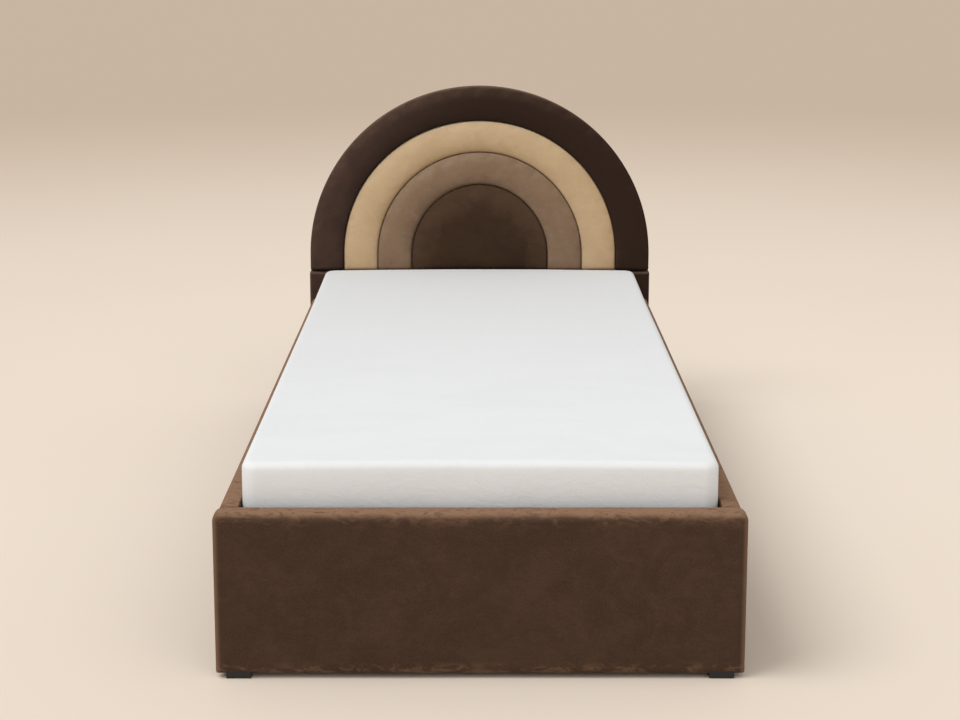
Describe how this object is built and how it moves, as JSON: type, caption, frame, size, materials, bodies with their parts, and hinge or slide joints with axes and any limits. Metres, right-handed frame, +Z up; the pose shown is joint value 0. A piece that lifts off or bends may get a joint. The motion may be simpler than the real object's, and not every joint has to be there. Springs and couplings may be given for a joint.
{
  "type": "ottoman storage bed",
  "caption": "Single ottoman bed with velvet walls, an arched striped headboard and a slatted mattress platform that lifts on gas struts.",
  "frame": {"origin": "on the floor, in the middle of the bed's length and width", "axes": "+Z up, +Y towards the headboard, +X to the right seen from the foot"},
  "size_m": [1, 2.142, 0.948],
  "materials": {
    "charcoal_velvet": "crushed velvet, dark mink brown",
    "dark_velvet": "crushed velvet, dark brown",
    "cream_velvet": "crushed velvet, cream",
    "taupe_velvet": "crushed velvet, taupe",
    "sheet_cotton": "white cotton",
    "mattress_foam": "quilted mattress",
    "back_cloth": "black spun cloth",
    "strap_webbing": "woven webbing",
    "frame_timber": "planed softwood",
    "panel_board": "raw chipboard",
    "floor_board": "hardboard",
    "slat_beech": "bent beech, lacquered",
    "tube_steel": "black powder coat",
    "plate_steel": "black powder coat",
    "zinc_steel": "zinc plated",
    "strut_body": "black gas strut body",
    "strut_rod": "hard chrome",
    "foot_plastic": "moulded, black",
    "holder_plastic": "moulded, black",
    "bumper_rubber": "moulded rubber"
  },
  "bodies": {
    "base": {"foot_panel_board": "panel_board", "foot_panel_cover": "charcoal_velvet", "head_panel_board": "panel_board", "head_panel_cover": "dark_velvet", "arch_board": "panel_board", "headboard_back_cloth": "back_cloth", "arch_outer_pad": "dark_velvet", "arch_cream_pad": "cream_velvet", "arch_taupe_pad": "taupe_velvet", "arch_centre_pad": "dark_velvet", "headboard_batten_bolts": "zinc_steel", "glide_feet": "foot_plastic", "centre_floor_bearer": "frame_timber", "head_floor_panel": "floor_board", "foot_floor_panel": "floor_board", "corner_brackets": "zinc_steel", "corner_bolts": "zinc_steel", "rest_bumpers": "bumper_rubber", "hinge_plate_screws": "zinc_steel", "base_pivot_pins": "zinc_steel", "left_rail_board": "panel_board", "left_rail_cover": "charcoal_velvet", "left_headboard_batten": "frame_timber", "left_floor_batten": "frame_timber", "left_rest_ledge": "frame_timber", "left_hinge_plate": "plate_steel", "right_rail_board": "panel_board", "right_rail_cover": "charcoal_velvet", "right_headboard_batten": "frame_timber", "right_floor_batten": "frame_timber", "right_rest_ledge": "frame_timber", "right_hinge_plate": "plate_steel"},
    "platform": {"left_side_tube": "tube_steel", "right_side_tube": "tube_steel", "head_tube": "tube_steel", "foot_tube": "tube_steel", "cross_tubes": "tube_steel", "left_slat_holders": "holder_plastic", "right_slat_holders": "holder_plastic", "slats": "slat_beech", "left_hanger_plate": "plate_steel", "right_hanger_plate": "plate_steel", "platform_pivot_pins": "zinc_steel", "pull_strap": "strap_webbing", "mattress_core": "mattress_foam", "fitted_sheet": "sheet_cotton"},
    "left_rear_arm": {"left_rear_arm": "plate_steel", "left_strut_stud": "zinc_steel"},
    "left_front_arm": {"left_front_arm": "plate_steel", "left_guide_pin": "zinc_steel"},
    "left_strut_cylinder": {"left_strut_cylinder": "strut_body"},
    "left_strut_rod": {"left_strut_rod": "strut_rod"},
    "right_rear_arm": {"right_rear_arm": "plate_steel", "right_strut_stud": "zinc_steel"},
    "right_front_arm": {"right_front_arm": "plate_steel", "right_guide_pin": "zinc_steel"},
    "right_strut_cylinder": {"right_strut_cylinder": "strut_body"},
    "right_strut_rod": {"right_strut_rod": "strut_rod"}
  },
  "joints": [
    {"name": "platform_lift", "type": "hinge", "parent": "left_rear_arm", "child": "platform", "pos_m": [-0.432, 0.8475, 0.205], "axis": [-1, 0, 0], "range_deg": [0, 81.7]},
    {"name": "left_rear_arm_swing", "type": "hinge", "parent": "base", "child": "left_rear_arm", "pos_m": [-0.432, 0.6471, 0.06], "axis": [1, 0, 0], "range_deg": [0, 39.7]},
    {"name": "left_front_arm_swing", "type": "hinge", "parent": "base", "child": "left_front_arm", "pos_m": [-0.425, 0.4013, 0.0909], "axis": [1, 0, 0], "range_deg": [0, 33.84]},
    {"name": "left_strut_swing", "type": "hinge", "parent": "base", "child": "left_strut_cylinder", "pos_m": [-0.445, 0.81536, 0.19384], "axis": [1, 0, 0], "range_deg": [0, 19.85]},
    {"name": "left_strut_rod_turn", "type": "hinge", "parent": "left_rear_arm", "child": "left_strut_rod", "pos_m": [-0.445, 0.48484, 0.20105], "axis": [-1, 0, 0], "range_deg": [0, 19.85]},
    {"name": "right_rear_arm_swing", "type": "hinge", "parent": "base", "child": "right_rear_arm", "pos_m": [0.432, 0.6471, 0.06], "axis": [1, 0, 0], "range_deg": [0, 39.7]},
    {"name": "right_front_arm_swing", "type": "hinge", "parent": "base", "child": "right_front_arm", "pos_m": [0.425, 0.4013, 0.0909], "axis": [1, 0, 0], "range_deg": [0, 33.84]},
    {"name": "right_strut_swing", "type": "hinge", "parent": "base", "child": "right_strut_cylinder", "pos_m": [0.445, 0.81536, 0.19384], "axis": [1, 0, 0], "range_deg": [0, 19.85]},
    {"name": "right_strut_rod_turn", "type": "hinge", "parent": "right_rear_arm", "child": "right_strut_rod", "pos_m": [0.445, 0.48484, 0.20105], "axis": [-1, 0, 0], "range_deg": [0, 19.85]}
  ],
  "couplings": [
    {"joint": "left_rear_arm_swing", "follows": "platform_lift", "ratio": 0.48592},
    {"joint": "left_front_arm_swing", "follows": "platform_lift", "ratio": 0.4142},
    {"joint": "left_strut_swing", "follows": "platform_lift", "ratio": 0.24296},
    {"joint": "left_strut_rod_turn", "follows": "platform_lift", "ratio": 0.24296},
    {"joint": "right_rear_arm_swing", "follows": "platform_lift", "ratio": 0.48592},
    {"joint": "right_front_arm_swing", "follows": "platform_lift", "ratio": 0.4142},
    {"joint": "right_strut_swing", "follows": "platform_lift", "ratio": 0.24296},
    {"joint": "right_strut_rod_turn", "follows": "platform_lift", "ratio": 0.24296}
  ]
}
